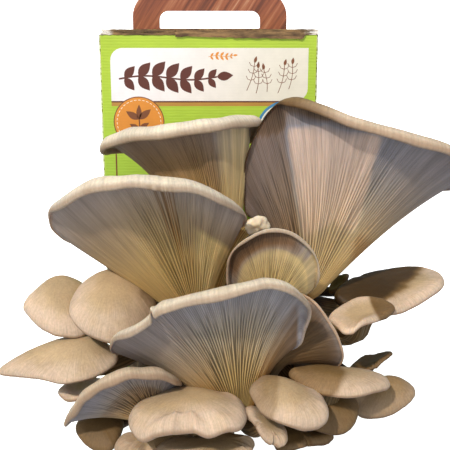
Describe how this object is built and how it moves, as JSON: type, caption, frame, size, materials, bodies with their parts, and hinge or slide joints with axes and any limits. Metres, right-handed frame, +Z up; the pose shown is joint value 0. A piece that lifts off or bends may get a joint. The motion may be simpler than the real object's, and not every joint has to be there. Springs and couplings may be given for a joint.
{
  "type": "oyster mushroom grow kit",
  "caption": "Printed carton with a carry handle and a block of substrate, with a bunch of oyster mushrooms growing out of its front window.",
  "frame": {"origin": "middle of the carton's bottom, on the surface that it stands on", "axes": "+Z up, -Y out of the carton's front, where the mushrooms grow, +X to the right of someone who looks at the front"},
  "size_m": [0.3253, 0.2774, 0.336],
  "materials": {
    "printed_board": "offset print on corrugated board, slight sheen",
    "raw_board": "raw brown kraft board, matte",
    "wood_print_board": "reddish brown print on board, slight sheen",
    "substrate": "pressed sawdust and straw in a bag, matte",
    "mushroom_flesh": "soft dry skin over gills, matte with a faint sheen"
  },
  "bodies": {
    "root": {"carton": "printed_board", "top_flap": "raw_board", "handle": "wood_print_board", "substrate_block": "substrate", "stalk_clump": "mushroom_flesh", "mushroom_big_front": "mushroom_flesh", "mushroom_big_left": "mushroom_flesh", "mushroom_tall_right": "mushroom_flesh", "mushroom_tall_left": "mushroom_flesh", "mushroom_cup_middle": "mushroom_flesh", "mushroom_broken": "mushroom_flesh", "mushroom_side_right": "mushroom_flesh", "mushroom_ear_right": "mushroom_flesh", "mushroom_fold_right": "mushroom_flesh", "mushroom_leaf_right": "mushroom_flesh", "mushroom_bud_back": "mushroom_flesh", "mushroom_oval_front": "mushroom_flesh", "mushroom_low_right": "mushroom_flesh", "mushroom_far_right": "mushroom_flesh", "mushroom_round_right": "mushroom_flesh", "mushroom_under_right": "mushroom_flesh", "mushroom_bud_front": "mushroom_flesh", "mushroom_bean_front": "mushroom_flesh", "mushroom_under_front": "mushroom_flesh", "mushroom_under_left": "mushroom_flesh", "mushroom_arch_left": "mushroom_flesh", "mushroom_low_left": "mushroom_flesh", "mushroom_bud_left": "mushroom_flesh", "mushroom_pointed_left": "mushroom_flesh", "mushroom_outer_left": "mushroom_flesh", "mushroom_shoulder_left": "mushroom_flesh", "mushroom_tucked_left": "mushroom_flesh"}
  },
  "joints": []
}
